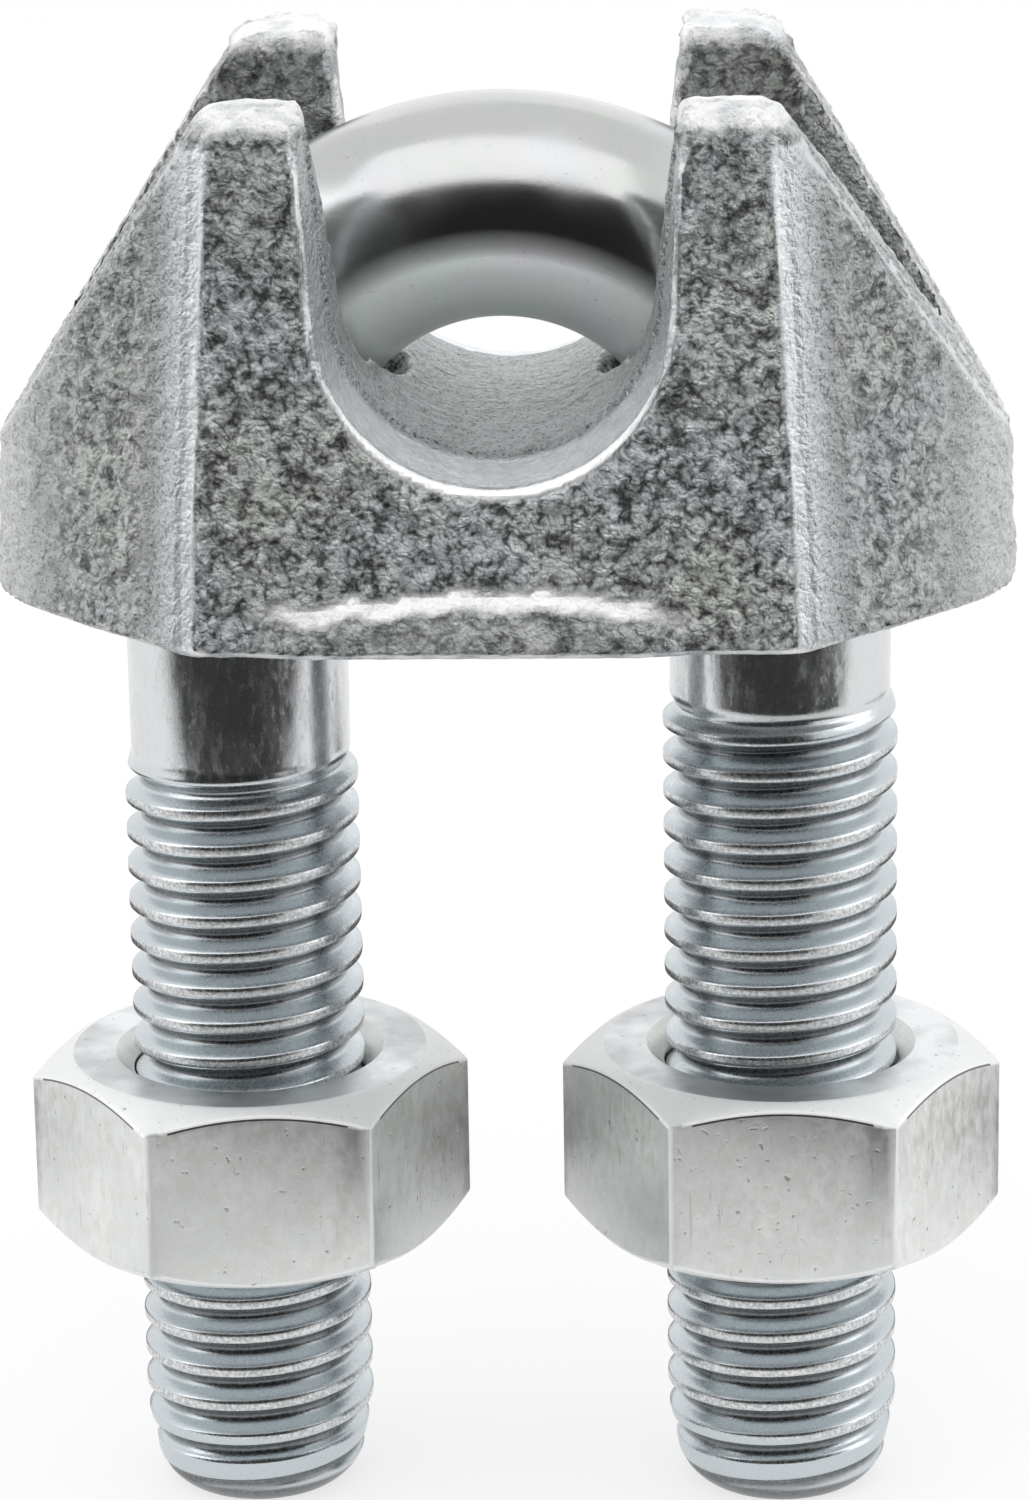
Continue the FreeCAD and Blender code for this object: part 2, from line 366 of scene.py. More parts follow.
def zinc_bar_material(finish, sizes):
    """Bright zinc on the bar, speckled thread crests, dirt and painted shade in the roots."""
    material = bpy.data.materials.new("zinc bar")
    n = Nodes(material)
    place = n.object_coords()
    bar = tuple(finish.bar)
    bow = sizes.bow_height
    thread = n.attribute("thread")
    height = n.level(place)
    on_bow = n.span(height, bow - 2 * MM, bow + 2 * MM)
    from_centre = n.vector("DISTANCE", n.vector("MULTIPLY", place, (1, 0, 1)), (0, 0, bow), "Value")
    # inside of the bow: a pale painted reflection there, with less metal and more roughness
    inner = n.times(n.span(from_centre, 8 * MM, 9 * MM, 1.0, 0.0), on_bow)
    drawn = n.noise(n.stretched(place, (1, 1, 0.3)), 2300, 5, 0.68)
    mottle = n.mix(on_bow, drawn, n.noise(place, 300, 1, 0.4))
    fine = n.noise(place, 7000, 3, 0.6)
    # share of the paler leg colour, a painted reflection, fading out at the bow
    legs = n.span(height, bow - 2.5 * MM, bow - 1.5 * MM, 0.45, 0.0)
    colour = n.mix(thread, bar_colour(n, bar, place, legs, inner, mottle, fine),
                   thread_colour(n, bar, tuple(finish.root_grime_and_shade), place, fine))
    rough = n.between(thread, n.span(mottle, 0.40, 0.66, 0.16, 0.30), n.span(fine, 0.3, 0.7, 0.20, 0.36))
    rough = n.math("ADD", rough, n.times(inner, 0.12))
    flecks = n.span(n.noise(n.stretched(place, (1, 1, 0.45)), 4600, 4, 0.7), 0.52, 0.66, 0.0, 0.12)
    flecks = n.times(n.times(flecks, n.but(on_bow)), n.but(thread))
    relief = n.bump(mottle, 0.02 * MM, 0.3)
    relief = n.bump(fine, 0.004 * MM, 0.5, relief)
    n.surface(Base_Color=colour, Metallic=n.but(n.times(inner, 0.5)),
              Roughness=n.math("ADD", rough, flecks), Normal=relief)
    return material


def grain_height(n, place, lumps):
    """Height of the cast grain: knobs of two sizes on uneven ground, wavy rather than round."""
    drift = n.add("TexNoise", {"Vector": place, "Scale": 1500, "Detail": 1.0}).outputs["Color"]
    push = n.vector("SUBTRACT", drift, (0.5, 0.5, 0.5))
    push = n.add("VectorMath", {0: push, "Scale": 0.36 * MM}, operation="SCALE").outputs[0]
    bent = n.vector("ADD", place, push)
    height = n.math("ADD", n.times(n.knobs(bent, 2900, 0.62), 0.30), n.times(n.knobs(bent, 6300, 0.6), 0.18))
    return n.math("ADD", height, n.times(lumps, 1.35))


def casting_material(finish):
    """Dull zinc over a cast skin: grey-green grains, painted shade in the creases, pits and recesses, and
    edges painted bright as wear and painted highlight.
    """
    material = bpy.data.materials.new("zinc casting")
    n = Nodes(material)
    place = n.object_coords()
    # crease colour: painted shade for the creases, hollows and pits of the casting
    crease = tuple(finish.casting_crease_shade)
    skin = n.attribute("skin")
    bare = n.attribute("bare")
    lumps = n.noise(place, 1250, 6, 0.74)
    height = grain_height(n, place, lumps)
    grit = n.noise(place, 7600, 3, 0.65)
    broad = n.noise(place, 170, 2, 0.5)

    grain_top = n.mix(n.span(broad, 0.38, 0.62), shade((0.97, 1.0, 0.94), 0.97),
                      shade((0.97, 1.0, 1.03), 0.95))
    grain_top = n.mix(n.span(grit, 0.64, 0.72), grain_top, shade(tuple(finish.casting), 1.8))
    # low parts of the grain get painted shade, the tops stay light
    cast = n.mix(n.span(height, 0.71, 1.05), crease, grain_top)
    # a little darker on the upper part of the ears
    cast = n.mix(n.span(n.level(place), 38 * MM, 47 * MM, 0.0, 0.22), cast, crease)
    # skin above 1, on the inner walls of the ears and round the leg holes, darkens the colour with painted
    # shade
    cast = n.mix(n.span(skin, 1.0, 1.4, 0.0, 0.5), cast, crease)

    # smoother skin is painted paler; at the groove mouth this is a painted highlight
    smooth = n.mix(n.span(skin, 0.12, 0.5), shade((0.97, 1.0, 1.03), 0.94), shade((0.97, 1.0, 1.02), 0.52))
    # hollows of the lumps get painted shade
    smooth = n.mix(n.span(lumps, 0.36, 0.64, 0.3, 0.0), smooth, shade(crease, 2.0))
    pits = n.times(n.span(grit, 0.55, 0.64), n.span(skin, 0.1, 0.5))
    # dark pits, painted with the crease shade
    smooth = n.mix(pits, smooth, shade(crease, 0.8))

    colour = n.mix(n.span(skin, 0.5, 0.95), smooth, cast)
    # edges, ledges and ear tops painted near white: wear and painted highlight
    colour = n.mix(bare, colour, shade((1, 1, 1), 0.96))
    depth = n.math("ADD", n.times(skin, 0.92), 0.08)
    relief = n.bump(n.times(height, depth), 0.42 * MM)
    relief = n.bump(grit, 0.04 * MM, 0.8, relief)
    n.surface(Base_Color=colour, Metallic=n.math("SUBTRACT", 0.9, n.times(bare, 0.6)),
              Roughness=n.span(grit, 0.3, 0.7, 0.32, 0.48), Normal=relief)
    return material


def nut_material(finish):
    """Pale zinc on machined flats with fine flecks, hairline scratches and smudges, a painted shadow line
    under the chamfer, and chamfer and edges painted bright as turned finish, wear and painted highlight.
    """
    material = bpy.data.materials.new("zinc nut")
    n = Nodes(material)
    place = n.object_coords()
    nut = tuple(finish.nut)
    smudge = n.noise(place, 240, 3, 0.6)
    mottle = n.noise(n.stretched(place, (1, 1, 0.6)), 2300, 5, 0.7)
    flecks = n.noise(place, 3600, 2, 0.5)
    upright = n.noise(n.stretched(place, (1, 1, 0.10), (0.35, 0.25, 0.2)), 5200, 2, 0.6)
    sideways = n.noise(n.stretched(place, (0.12, 1, 1), (0.2, 0.9, 0.5)), 4600, 2, 0.6)
    turned = n.attribute("turned")

    flat = n.mix(n.span(smudge, 0.36, 0.60), shade((0.97, 1.0, 1.0), 0.80), nut)
    flat = n.mix(n.span(mottle, 0.36, 0.60), shade((0.98, 0.99, 0.95), 0.76), flat)
    ring = n.mix(n.span(smudge, 0.38, 0.56), (0.56, 0.57, 0.58), shade((0.98, 1.0, 1.02), 0.82))
    colour = n.mix(n.span(turned, FLAT, RING), flat, ring)
    # chamfer painted bright as a turned finish and painted highlight; the small bevel faces get part of it,
    # as wear and painted highlight
    colour = n.mix(n.span(turned, RING, CHAMFER), colour, shade((0.99, 1.0, 1.0), 0.84))
    # narrow faces under the chamfer painted near black: a painted shadow line
    colour = n.mix(n.span(turned, SHADOW_LINE, FLAT, 0.85, 0.0), colour, (0.10, 0.10, 0.11))
    colour = n.mix(n.span(flecks, 0.70, 0.76, 0.0, 0.7), colour, shade(nut, 0.35))
    colour = n.mix(n.span(upright, 0.66, 0.74, 0.0, 0.45), colour, shade(nut, 0.45))
    colour = n.mix(n.span(sideways, 0.72, 0.79, 0.0, 0.6), colour, (0.9, 0.9, 0.9))

    rough = n.math("ADD", n.span(mottle, 0.3, 0.7, 0.32, 0.44), n.span(turned, FLAT, CHAMFER, 0.0, 0.12))
    relief = n.bump(smudge, 0.05 * MM, 0.3)
    relief = n.bump(mottle, 0.025 * MM, 0.5, relief)
    relief = n.bump(n.span(flecks, 0.66, 0.78, 1.0, 0.0), 0.015 * MM, 0.6, relief)
    n.surface(Base_Color=colour, Metallic=n.span(turned, RING, CHAMFER, 1.0, 0.6), Roughness=rough,
              Normal=relief)
    return material


def matt_material(name, grey):
    material = bpy.data.materials.new(name)
    Nodes(material).surface(Base_Color=(grey, grey, grey, 1), Roughness=1.0)
    return material


def floor_material(finish):
    """Pale matt floor that fades towards the white of the backdrop and keeps a light shadow."""
    material = bpy.data.materials.new("pale floor")
    n = Nodes(material)
    matt = n.add("BsdfDiffuse", {"Color": (*finish.floor, 1)})
    glow = n.add("Emission", {"Color": (1, 1, 1, 1), "Strength": 1.0})
    path = n.add("LightPath")
    seen = n.math("MAXIMUM", path.outputs["Is Camera Ray"], path.outputs["Is Glossy Ray"])
    mixed = n.add("MixShader", {0: n.times(seen, 0.72), 1: matt.outputs[0], 2: glow.outputs[0]})
    n.tree.links.new(mixed.outputs[0], n.output.inputs["Surface"])
    return material


# ---------------------------------------------------------------- U-bolt


def thread_profile(sizes):
    """One pitch of the rolled thread: (distance from the axis, share of the pitch)."""
    crest = sizes.crest_diameter / 2
    steps = ((0.0, 1.0), (0.06, 1.0), (0.11, 0.93), (0.19, 0.66), (0.27, 0.36), (0.34, 0.10),
             (0.38, 0.02), (0.46, 0.0), (0.54, 0.0), (0.62, 0.02), (0.66, 0.10), (0.73, 0.36),
             (0.81, 0.66), (0.89, 0.93))
    return [(crest - sizes.thread_depth * depth, share) for share, depth in steps]


def tip_radius(z, sizes):
    """Outline of the rounded tip of a leg."""
    crest = sizes.crest_diameter / 2
    flat = sizes.tip_flat / 2
    widest = sizes.tip_width / 2
    if z < sizes.tip_round:
        t = z / sizes.tip_round
        return flat + (widest - flat) * (1 - (1 - t) ** 2) ** 0.75
    return min(widest + (z - sizes.tip_round) / sizes.tip_taper * (crest - widest), crest)


def threaded_length(sizes, x, top):
    """A turned helix of the thread profile, rounded at the tip and faded into the bar above."""
    profile = thread_profile(sizes)
    leg = fresh("thread", bpy.ops.mesh.primitive_plane_add, size=1.0)
    bpy.ops.object.mode_set(mode="EDIT")
    bpy.ops.mesh.select_mode(type="VERT")
    mesh = bmesh.from_edit_mesh(leg.data)
    bmesh.ops.delete(mesh, geom=mesh.verts[:], context="VERTS")
    first = mesh.verts.new((profile[0][0], 0, -sizes.pitch))
    bmesh.update_edit_mesh(leg.data)
    first.select_set(True)
    points = profile[1:] + [(profile[0][0], 1.0)]
    last = (profile[0][0], 0.0)
    for radius, share in points:
        bpy.ops.mesh.extrude_region_move(TRANSFORM_OT_translate={
            "value": (radius - last[0], 0, (share - last[1]) * sizes.pitch)})
        last = (radius, share)
    bpy.ops.object.mode_set(mode="OBJECT")
    turns = math.ceil(top / sizes.pitch) + 2
    apply_modifier(leg, "SCREW", axis="Z", angle=2 * math.pi, screw_offset=sizes.pitch,
                   iterations=turns, steps=sizes.segments, render_steps=sizes.segments,
                   use_merge_vertices=True, merge_threshold=1e-7, use_smooth_shade=True)
    bar = sizes.bar_diameter / 2
    for vert in leg.data.vertices:
        angle = round(math.atan2(vert.co.y, vert.co.x) / (2 * math.pi) * sizes.segments)
        angle *= 2 * math.pi / sizes.segments
        radius = math.hypot(vert.co.x, vert.co.y)
        z = min(max(vert.co.z, 0.0), top)
        fade = smoothstep(top - 0.05 * MM, top - sizes.run_out, z)
        radius = min(bar + (radius - bar) * fade, tip_radius(z, sizes))
        vert.co = (x + radius * math.cos(angle), radius * math.sin(angle), z)
    close_seams(leg)
    return leg


def boundary_at(z, side=0):
    return lambda edge: edge.is_boundary and all(
        abs(v.co.z - z) < 0.02 * MM and v.co.x * side >= 0 for v in edge.verts)


def extend(rise, step):
    """Extrudes the selected ring along its leg, in even rows of about one step."""
    rows = round(abs(rise) / step)
    for _ in range(rows):
        bpy.ops.mesh.extrude_region_move(TRANSFORM_OT_translate={"value": (0, 0, rise / rows)})


def close_tips(bolt):
    """Closes the open tip of each leg with a flat face."""
    bpy.ops.object.mode_set(mode="EDIT")
    for side in SIDES.values():
        select_where(bolt, boundary_at(0.0, side), "edges")
        bpy.ops.mesh.edge_face_add()
        bpy.ops.mesh.inset(thickness=0.25 * MM)
        bpy.ops.mesh.inset(thickness=0.6 * MM)
        bpy.ops.mesh.poke()
    bpy.ops.mesh.select_all(action="SELECT")
    bpy.ops.mesh.normals_make_consistent(inside=False)
    bpy.ops.mesh.faces_shade_smooth()
    bpy.ops.object.mode_set(mode="OBJECT")


def build_bolt():
    scene = bpy.context.scene
    sizes = scene.clip_bolt
    x = leg_x()
    tops = {"left": sizes.thread_top_left, "right": sizes.thread_top_right}
    bolt = threaded_length(sizes, -x, tops["left"])
    right = threaded_length(sizes, x, tops["right"])
    only(bolt)
    bpy.ops.object.mode_set(mode="EDIT")
    select_where(bolt, boundary_at(tops["left"]), "edges")
    extend(sizes.bow_height - tops["left"], sizes.shank_step)
    bpy.ops.mesh.spin(steps=sizes.bow_steps, angle=math.pi, center=(0, 0, sizes.bow_height),
                      axis=(0, -1, 0))
    extend(tops["right"] - sizes.bow_height, sizes.shank_step)
    bpy.ops.object.mode_set(mode="OBJECT")
    only(bolt)
    right.select_set(True)
    bpy.ops.object.join()
    bolt.name = bolt.data.name = "u_bolt_zinc"
    close_seams(bolt, 2e-6)
    close_tips(bolt)
    crest = sizes.crest_diameter / 2
    crests, threads = [], []
    for vert in bolt.data.vertices:
        side = "left" if vert.co.x < 0 else "right"
        radius = math.hypot(vert.co.x - SIDES[side] * x, vert.co.y)
        crests.append(min(max((radius - crest + sizes.thread_depth) / sizes.thread_depth, 0), 1))
        threads.append(1 - smoothstep(tops[side] - sizes.run_out, tops[side], vert.co.z))
    store(bolt, "crest", crests)
    store(bolt, "thread", threads)
    finish_piece(bolt, "u_bolt", "bolt", zinc_bar_material(scene.clip_finish, sizes))


# ---------------------------------------------------------------- nuts


def turned_blank(sizes, reach):
    """A disc with both rims chamfered, wide enough to take the hexagon's corners."""
    slope = (reach - sizes.face_diameter / 2) * math.tan(sizes.chamfer)
    blank = fresh("nut_turning", bpy.ops.mesh.primitive_cylinder_add, vertices=144, radius=reach,
                  depth=sizes.height - 2 * slope, location=(0, 0, sizes.height / 2))
    settle(blank)
    shrink = sizes.face_diameter / 2 / reach
    bpy.ops.object.mode_set(mode="EDIT")
    for level in (-1, 1):
        select_where(blank, lambda face: face.normal.z * level > 0.9, "faces")
        bpy.ops.mesh.extrude_region_move(TRANSFORM_OT_translate={"value": (0, 0, level * slope)})
        bpy.ops.transform.resize(value=(shrink, shrink, 1), center_override=(0, 0, 0))
    bpy.ops.object.mode_set(mode="OBJECT")
    return blank


def drill(nut, sizes):
    """Cuts the bore and a countersink at each end of it."""
    bore = fresh("nut_bore", bpy.ops.mesh.primitive_cylinder_add, vertices=96,
                 radius=sizes.bore / 2, depth=sizes.height * 1.5, location=(0, 0, sizes.height / 2))
    settle(bore)
    carve(nut, bore)
    over = 0.2 * MM
    narrow, wide = sizes.bore / 2, sizes.countersink / 2 + over
    sink = (sizes.countersink - sizes.bore) / 2
    for level, inward, low, high in ((0, 1, wide, narrow), (sizes.height, -1, narrow, wide)):
        centre = level + inward * (sink - over) / 2
        cone = fresh("nut_sink", bpy.ops.mesh.primitive_cone_add, vertices=96, radius1=low,
                     radius2=high, depth=sink + over, location=(0, 0, centre))
        settle(cone)
        carve(nut, cone)


def face_kinds(nut, sizes):
    """What each face of the nut is, for its material."""
    rim = sizes.face_diameter / 2 - 0.1 * MM
    shadow_line_reach = 7.15 * MM
    kinds = []
    for face in nut.data.polygons:
        reach = math.hypot(face.center.x, face.center.y)
        ring = abs(face.normal.z) > 0.97
        chamfer = 0.3 < abs(face.normal.z) < 0.97 and reach > rim
        edge = face.area < 3e-6 and reach > rim
        # narrow faces just under the chamfer, which get a painted shadow line
        shadow_line = edge and 0.06 < face.normal.z < 0.3 and reach < shadow_line_reach
        kinds.append(SHADOW_LINE if shadow_line else RING if ring else CHAMFER if chamfer else EDGE if edge else FLAT)
    return kinds


def build_nuts():
    scene = bpy.context.scene
    sizes = scene.clip_nut
    corner = sizes.across_flats / math.sqrt(3)
    nut = fresh("nut_blank", bpy.ops.mesh.primitive_cylinder_add, vertices=6, radius=corner,
                depth=sizes.height, location=(0, 0, sizes.height / 2),
                rotation=(0, 0, math.radians(30)))
    settle(nut)
    carve(nut, turned_blank(sizes, corner + 1 * MM), "INTERSECT")
    apply_modifier(nut, "BEVEL", width=sizes.edge, segments=3, limit_method="ANGLE",
                   angle_limit=math.radians(14), use_clamp_overlap=True)
    drill(nut, sizes)
    close_seams(nut, 1e-6)
    only(nut)
    bpy.ops.object.shade_smooth_by_angle(angle=math.radians(28))
    store(nut, "turned", face_kinds(nut, sizes), "FACE")
    for side, turn in (("left", sizes.turn_left), ("right", sizes.turn_right)):
        low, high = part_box("nut_" + side)
        only(nut)
        bpy.ops.object.duplicate()
        piece = bpy.context.active_object
        piece.name = piece.data.name = f"nut_{side}_zinc"
        piece.data.transform(Matrix.Translation(((low.x + high.x) / 2, (low.y + high.y) / 2, low.z))
                             @ Matrix.Rotation(turn, 4, "Z"))
        finish_piece(piece, "nut_" + side, "nut_" + side,
                     nut_material(scene.clip_finish))
    bpy.data.objects.remove(nut)


# ---------------------------------------------------------------- saddle


def billow(p, size, seed=0.0):
    """Rounded lumps with sharp creases between them, from about -1 in a crease to 1."""
    q = p / size
    value = abs(noise.noise(q + Vector((seed, 3.7, 1.3))))
    value += 0.5 * abs(noise.noise(q * 2.1 + Vector((seed, 9.1, 5.2))))
    return min(value * 2.6 - 1.0, 1.0)


def skin_weights(p, normal, sizes, leg, low, high):
    """How rough the cast skin is at a point: (coarse lumps, slanting lumps, fine grain); fine grain above 1
    also marks painted shade.
    """
    up = p.z - low.z
    side, facing = abs(p.x), abs(normal.y)
    if up > sizes.groove_floor and side < sizes.groove_width / 2 and abs(p.y) < high.y - 0.7 * MM:
        # the groove mouth gets little skin, so it is painted pale as a highlight
        mouth = smoothstep(high.y - 3.8 * MM, high.y - 2.8 * MM, abs(p.y))
        mouth *= 1 - 0.6 * smoothstep(7.5 * MM, 10.5 * MM, up)
        # painted shade round the leg holes
        hole_shade = 1 - smoothstep(4.8 * MM, 6.2 * MM, math.hypot(side - leg, p.y))
        return 0.0, 0.0, 0.55 - 0.45 * mouth + 0.95 * hole_shade
    if p.y * normal.y < 0:
        walls = smoothstep(0.80, 0.90, facing)
        # inner walls of the ears: skin above 1 gives them painted shade
        return walls, 0.0, 0.7 + 0.7 * walls
    faces = smoothstep(0.94, 0.985, facing)
    crown = smoothstep(high.z - 1.6 * MM, high.z - 0.8 * MM, p.z)
    corner = (sizes.face_width - sizes.face_taper * up / (high.z - low.z)) / 2
    sides = smoothstep(corner, corner + 1.8 * MM, side) * (1 - smoothstep(0.72, 0.80, facing))
    sides *= 1 - smoothstep(0.3, 0.5, abs(normal.z))
    sides *= 1 - 0.55 * smoothstep(13.5 * MM, 16 * MM, side)
    return max(faces, crown), sides, 0.26 + 0.4 * max(faces, sides)


def skin_rise(p, normal, sizes, coarse, slanting, fine):
    """How far the skin stands out from the plain solid; below it, the number is negative."""
    outside = p.y * normal.y > 0 and coarse + slanting > 0
    rise = -0.6 if outside else -0.3 if coarse + slanting == 0 and fine > 0.5 else -1.0
    if coarse > 0.01:
        rise += coarse * billow(p, sizes.grain)
    if slanting > 0.01:
        slant = Vector((p.y * 0.7 + p.z * 0.7, (p.z * 0.7 - p.y * 0.7) * 0.5, p.x))
        rise += slanting * billow(slant, sizes.grain * 0.7, 40.0)
    rise += 0.5 * fine * (noise.noise(p / (sizes.grain * 0.5)) - 0.5)
    return rise * sizes.lump_height


def convexity(mesh):
    """How sharply the surface bends outwards at each point, for the edges painted bright as wear and painted
    highlight.
    """
    total = [0.0] * len(mesh.vertices)
    for edge in mesh.edges:
        a, b = (mesh.vertices[i] for i in edge.vertices)
        along = b.co - a.co
        bend = (b.normal - a.normal).dot(along) / max(along.length_squared, 1e-12)
        total[a.index] += bend
        total[b.index] += bend
    return [value / 4 for value in total]


def flash_strip(p, sizes, low):
    """Along the foot of each face: (how proud the mould's flash stands, how bright its ledge is painted as a
    highlight).
    """
    way = 1 if p.y > 0 else -1
    wave = 0.30 * MM * noise.noise(Vector((p.x / (2.2 * MM), way * 3.1, 0.0)))
    wave += 0.26 * MM * noise.noise(Vector((p.x / (1.0 * MM), way * 5.3, 0.0)))
    wave += 0.12 * MM * noise.noise(Vector((p.x / (0.4 * MM), way * 7.7, 0.0)))
    arch = 0.5 * MM * (1 - ((p.x + 0.4 * MM) / (6.0 * MM)) ** 2)
    top = low.z + sizes.flash_height + arch + wave
    along = 1 - smoothstep(5.0 * MM, 7.6 * MM, abs(p.x + 0.8 * MM))
    below = 1 - smoothstep(top - 0.42 * MM, top + 0.42 * MM, p.z)
    return along * below, along * min(9 * below * (1 - below), 1.0)


def rubbing_and_highlights(p, normal, bend, slanting, strip, ledge, low, high):
    """How rubbed a point is, with painted highlights: (how bright the metal is painted, how clean of lumps).
    """
    patchy = smoothstep(-0.35, 0.1, noise.noise(p / (0.9 * MM)))
    crown = smoothstep(high.z - 1.05 * MM, high.z - 0.5 * MM, p.z)
    corner = 0
    # convex edges painted bright: wear and painted highlight
    bare = smoothstep(500, 1200, bend) * patchy
    if p.y * normal.y > 0 and abs(p.y) > 8 * MM:
        # rounded corner between face and side painted bright: painted highlight
        corner = smoothstep(0.24, 0.40, abs(normal.x)) * (1 - smoothstep(0.58, 0.74, abs(normal.x)))
        corner *= 1 - smoothstep(0.3, 0.6, abs(normal.z))
        if abs(p.x) < 5.3 * MM and p.z < low.z + 9 * MM:
            # rim of the groove mouth painted bright: painted highlight
            rim = smoothstep(0.15, 0.4, normal.z) * smoothstep(0.25, 0.4, abs(normal.y))
            ledge = max(ledge, rim)
        # flash ledge and strip painted bright as painted highlight; the slanting sides a little lighter as
        # painted light
        bare = max(bare, 0.2 * corner, ledge, 0.22 * strip * patchy, 0.14 * slanting)
    # end faces painted lighter: painted light
    ends = 0.28 * smoothstep(13.0 * MM, 16.5 * MM, abs(p.x))
    # ear tops painted bright: wear and painted highlight
    bare = max(bare, ends, (0.3 + 0.5 * patchy) * crown)
    return bare, max(0.8 * ledge, 0.7 * crown, 0.55 * corner)


def cast_skin(saddle, sizes, low, high):
    """Shapes the lumps, slanting grain and flash line of the casting, inside its outline."""
    mesh = saddle.data
    leg = leg_x()
    moved, skin_and_shade, rub_and_highlight_levels = [], [], []
    for vert, bend in zip(mesh.vertices, convexity(mesh)):
        p, normal = vert.co, vert.normal
        coarse, slanting, fine = skin_weights(p, normal, sizes, leg, low, high)
        rise = skin_rise(p, normal, sizes, coarse, slanting, fine)
        strip, ledge = flash_strip(p, sizes, low)
        near = smoothstep(6.0 * MM, 9.4 * MM, abs(p.y))
        inward = near * sizes.flash_depth * (1 - strip) * (-1 if p.y > 0 else 1)
        bare, clean = rubbing_and_highlights(p, normal, bend, slanting, strip, ledge, low, high)
        moved.append(p + normal * rise + Vector((0, inward, 0)))
        # skin amount, which above 1 also carries painted shade
        skin_and_shade.append(max(coarse, 0.78 * slanting, fine) * (1 - 0.25 * strip) * (1 - clean))
        rub_and_highlight_levels.append(bare)
    for vert, place in zip(mesh.vertices, moved):
        vert.co = [min(max(place[i], low[i]), high[i]) for i in range(3)]
    store(saddle, "skin", skin_and_shade)
    store(saddle, "bare", rub_and_highlight_levels)


def soften_edges(saddle, low, high):
    """Rounds the tops of the ears and the mouths of the groove."""
    soft = saddle.vertex_groups.new(name="soft edges")
    for vert in saddle.data.vertices:
        p = vert.co
        top = smoothstep(high.z - 2.8 * MM, high.z - 0.8 * MM, p.z)
        mouth = smoothstep(high.y - 1.4 * MM, high.y - 0.6 * MM, abs(p.y)) if abs(p.x) < 7 * MM else 0
        mouth *= smoothstep(4.6 * MM, 5.4 * MM, p.z - low.z)
        soft.add([vert.index], max(top, 0.34 * mouth), "REPLACE")
    apply_modifier(saddle, "SMOOTH", factor=0.5, iterations=3)
    apply_modifier(saddle, "SMOOTH", factor=0.5, iterations=60, vertex_group="soft edges")


def build_saddle():
    scene = bpy.context.scene
    sizes = scene.clip_saddle
    low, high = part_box("saddle")
    only(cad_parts["saddle"])
    bpy.ops.object.duplicate()
    saddle = bpy.context.active_object
    for key in list(saddle.keys()):
        del saddle[key]
    saddle.parent = None
    saddle.name = saddle.data.name = "saddle_casting"
    close_seams(saddle, 1e-6)
    apply_modifier(saddle, "REMESH", mode="VOXEL", voxel_size=sizes.mesh_step, use_smooth_shade=True)
    soften_edges(saddle, low, high)
    cast_skin(saddle, sizes, low, high)
    only(saddle)
    bpy.ops.object.shade_smooth()
    finish_piece(saddle, "saddle", "saddle", casting_material(scene.clip_finish))


# ---------------------------------------------------------------- stage


def lay_card(name, place, size, grey, tilt=0):
    """A matt sheet that only reflections see."""
    card = fresh(name, bpy.ops.mesh.primitive_plane_add, size=1.0, location=place,
                 rotation=(tilt, 0, 0))
    card.scale = (*size, 1)
    settle(card)
    card.data.materials.append(matt_material(name.replace("_", " "), grey))
    card.visible_camera = card.visible_diffuse = card.visible_shadow = False


def hang_lamp(name, place, size, power):
    """A square lamp that faces the clip."""
    bpy.ops.object.select_all(action="DESELECT")
    bpy.ops.object.light_add(type="AREA", location=place)
    lamp = bpy.context.active_object
    lamp.name = lamp.data.name = name
    lamp.data.size = size
    lamp.data.energy = power
    aim = Vector((0, 0, 0.03)) - Vector(place)
    lamp.rotation_euler = aim.to_track_quat("-Z", "Y").to_euler()


def paint_world(scene):
    """An even white all round."""
    world = bpy.data.worlds.new("studio")
    scene.world = world
    world.use_nodes = True
    tree = world.node_tree
    tree.nodes.clear()
    white = tree.nodes.new("ShaderNodeBackground")
    white.inputs["Color"].default_value = (1, 1, 1, 1)
    white.inputs["Strength"].default_value = 1.0
    output = tree.nodes.new("ShaderNodeOutputWorld")
    tree.links.new(white.outputs[0], output.inputs["Surface"])


def set_camera(scene):
    """Looks at the clip from the front and a little above."""
    yaw, pitch, roll = (math.radians(a) for a in (2.331, 16.978, -0.949))
    ahead = Vector((-math.sin(yaw) * math.cos(pitch), math.cos(yaw) * math.cos(pitch), -math.sin(pitch)))
    right = Vector((math.cos(yaw), math.sin(yaw), 0))
    up = right.cross(ahead)
    across = right * math.cos(roll) + up * math.sin(roll)
    upright = up * math.cos(roll) - right * math.sin(roll)
    turn = Matrix((across, upright, -ahead)).transposed().to_4x4()
    bpy.ops.object.select_all(action="DESELECT")
    bpy.ops.object.camera_add()
    camera = bpy.context.active_object
    camera.name = camera.data.name = "camera"
    camera.matrix_world = Matrix.Translation(Vector((7.531, -181.315, 81.75)) * MM) @ turn
    camera.data.lens = 135
    camera.data.sensor_width = 36
    camera.data.clip_start = 0.01
    scene.camera = camera


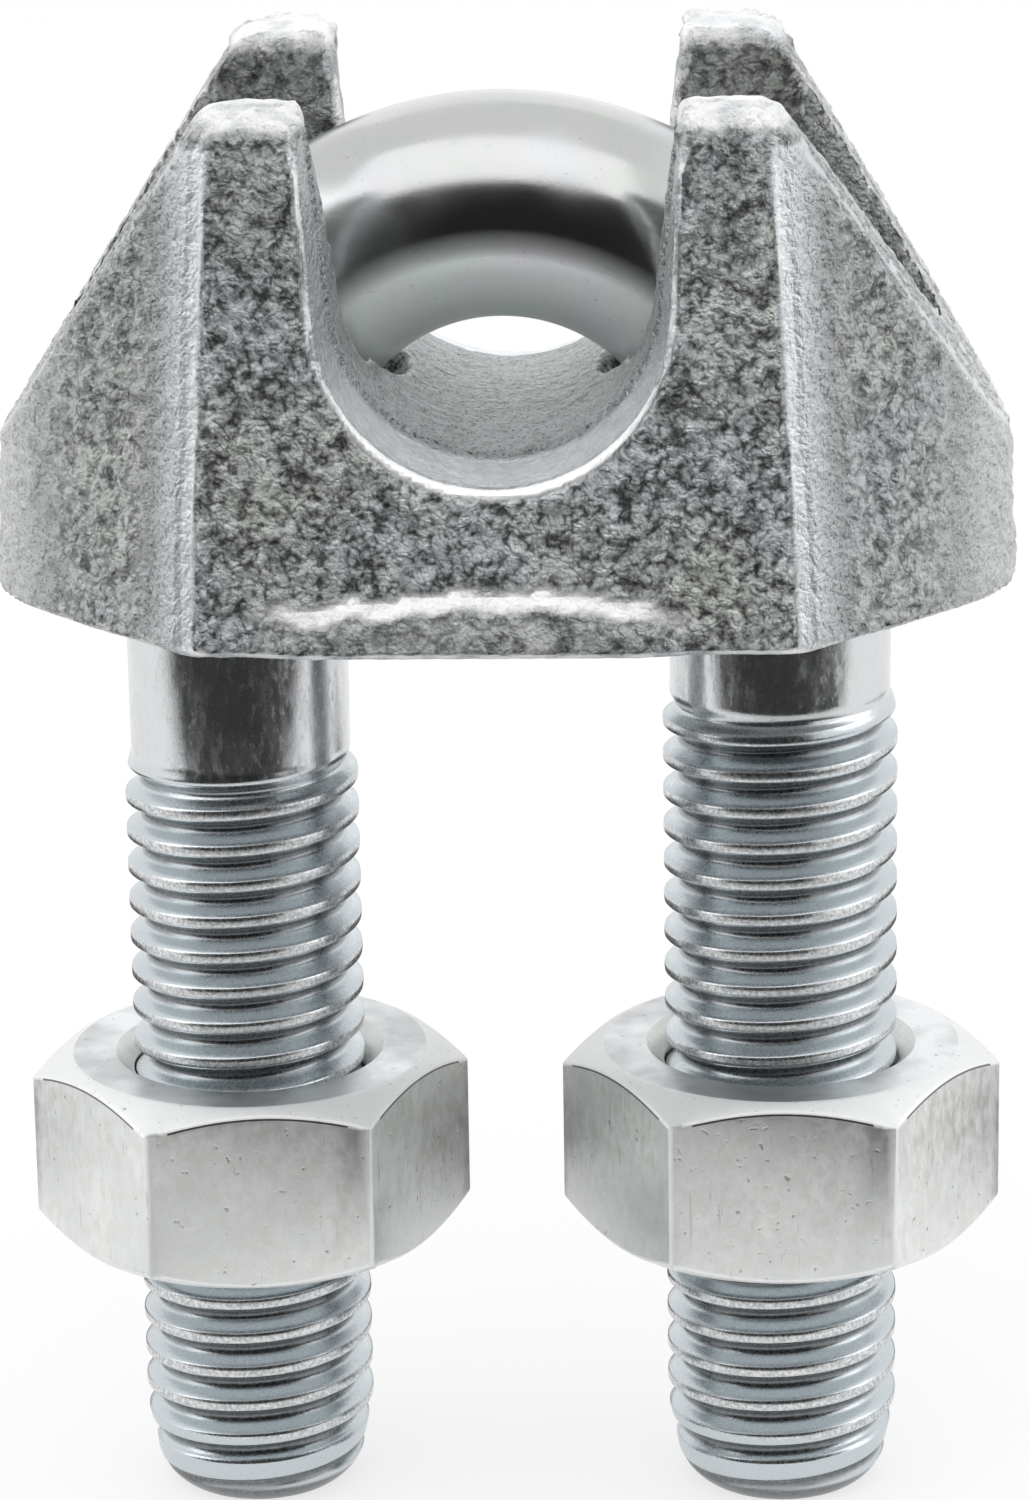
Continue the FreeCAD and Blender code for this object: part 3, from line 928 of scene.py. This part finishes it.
def build_stage():
    scene = bpy.context.scene
    floor = fresh("floor", bpy.ops.mesh.primitive_plane_add, size=6.0)
    floor.data.materials.append(floor_material(scene.clip_finish))
    lay_card("dark_card", (-0.037, -0.075, 0.0475), (0.185, 0.094), 0.011, math.radians(90))
    lay_card("dark_shelf", (-0.037, -0.0435, 0.022), (0.185, 0.063), 0.011)
    lay_card("rear_mat", (0, 0.038, 0.0005), (0.13, 0.046), 0.08)
    lay_card("front_mat", (0, -0.049, 0.0005), (0.13, 0.054), 0.58)
    paint_world(scene)
    hang_lamp("key", (-0.03, -0.21, 0.33), 0.38, 0.24)
    hang_lamp("left", (-0.32, -0.10, 0.22), 0.26, 0.26)
    hang_lamp("fill", (0.32, -0.04, 0.22), 0.26, 0.22)
    hang_lamp("back", (0.0, 0.36, 0.20), 0.30, 0.06)
    set_camera(scene)
    scene.view_settings.view_transform = "Standard"


# ---------------------------------------------------------------- add-on


class CLIP_OT_u_bolt(bpy.types.Operator):
    """Adds the bent bar with its two threaded legs"""
    bl_idname = "clip.u_bolt"
    bl_label = "Add U-bolt"

    def execute(self, context):
        build_bolt()
        return {"FINISHED"}


class CLIP_OT_saddle(bpy.types.Operator):
    """Adds the cast saddle under the bow"""
    bl_idname = "clip.saddle"
    bl_label = "Add saddle"

    def execute(self, context):
        build_saddle()
        return {"FINISHED"}


class CLIP_OT_nuts(bpy.types.Operator):
    """Adds one hex nut on each leg"""
    bl_idname = "clip.nuts"
    bl_label = "Add nuts"

    def execute(self, context):
        build_nuts()
        return {"FINISHED"}


class CLIP_OT_stage(bpy.types.Operator):
    """Adds the floor, the reflection cards, the world, the lamps and the camera"""
    bl_idname = "clip.stage"
    bl_label = "Set the stage"

    def execute(self, context):
        build_stage()
        return {"FINISHED"}


class CLIP_PT_panel(bpy.types.Panel):
    bl_idname = "CLIP_PT_panel"
    bl_label = "Wire Rope Clip"
    bl_space_type = "VIEW_3D"
    bl_region_type = "UI"
    bl_category = "Rope Clip"

    def draw(self, context):
        layout = self.layout
        for label, operator, group in PARTS:
            box = layout.box()
            box.label(text=label)
            settings = getattr(context.scene, group)
            for name in settings.bl_rna.properties.keys():
                if name not in ("rna_type", "name"):
                    box.prop(settings, name)
            box.operator(operator)


PARTS = (("U-bolt", "clip.u_bolt", "clip_bolt"), ("Saddle", "clip.saddle", "clip_saddle"),
         ("Nuts", "clip.nuts", "clip_nut"), ("Stage", "clip.stage", "clip_finish"))
GROUPS = {"clip_bolt": ClipBoltSizes, "clip_saddle": ClipSaddleSizes, "clip_nut": ClipNutSizes,
          "clip_finish": ClipFinish}
CLASSES = (*GROUPS.values(), CLIP_OT_u_bolt, CLIP_OT_saddle, CLIP_OT_nuts, CLIP_OT_stage,
           CLIP_PT_panel)


def register():
    for cls in CLASSES:
        bpy.utils.register_class(cls)
    for name, group in GROUPS.items():
        setattr(bpy.types.Scene, name, PointerProperty(type=group))


def unregister():
    for name in GROUPS:
        delattr(bpy.types.Scene, name)
    for cls in reversed(CLASSES):
        bpy.utils.unregister_class(cls)


def main():
    register()
    bpy.ops.clip.stage()
    bpy.ops.clip.u_bolt()
    bpy.ops.clip.nuts()
    bpy.ops.clip.saddle()


if __name__ == "__main__":
    main()
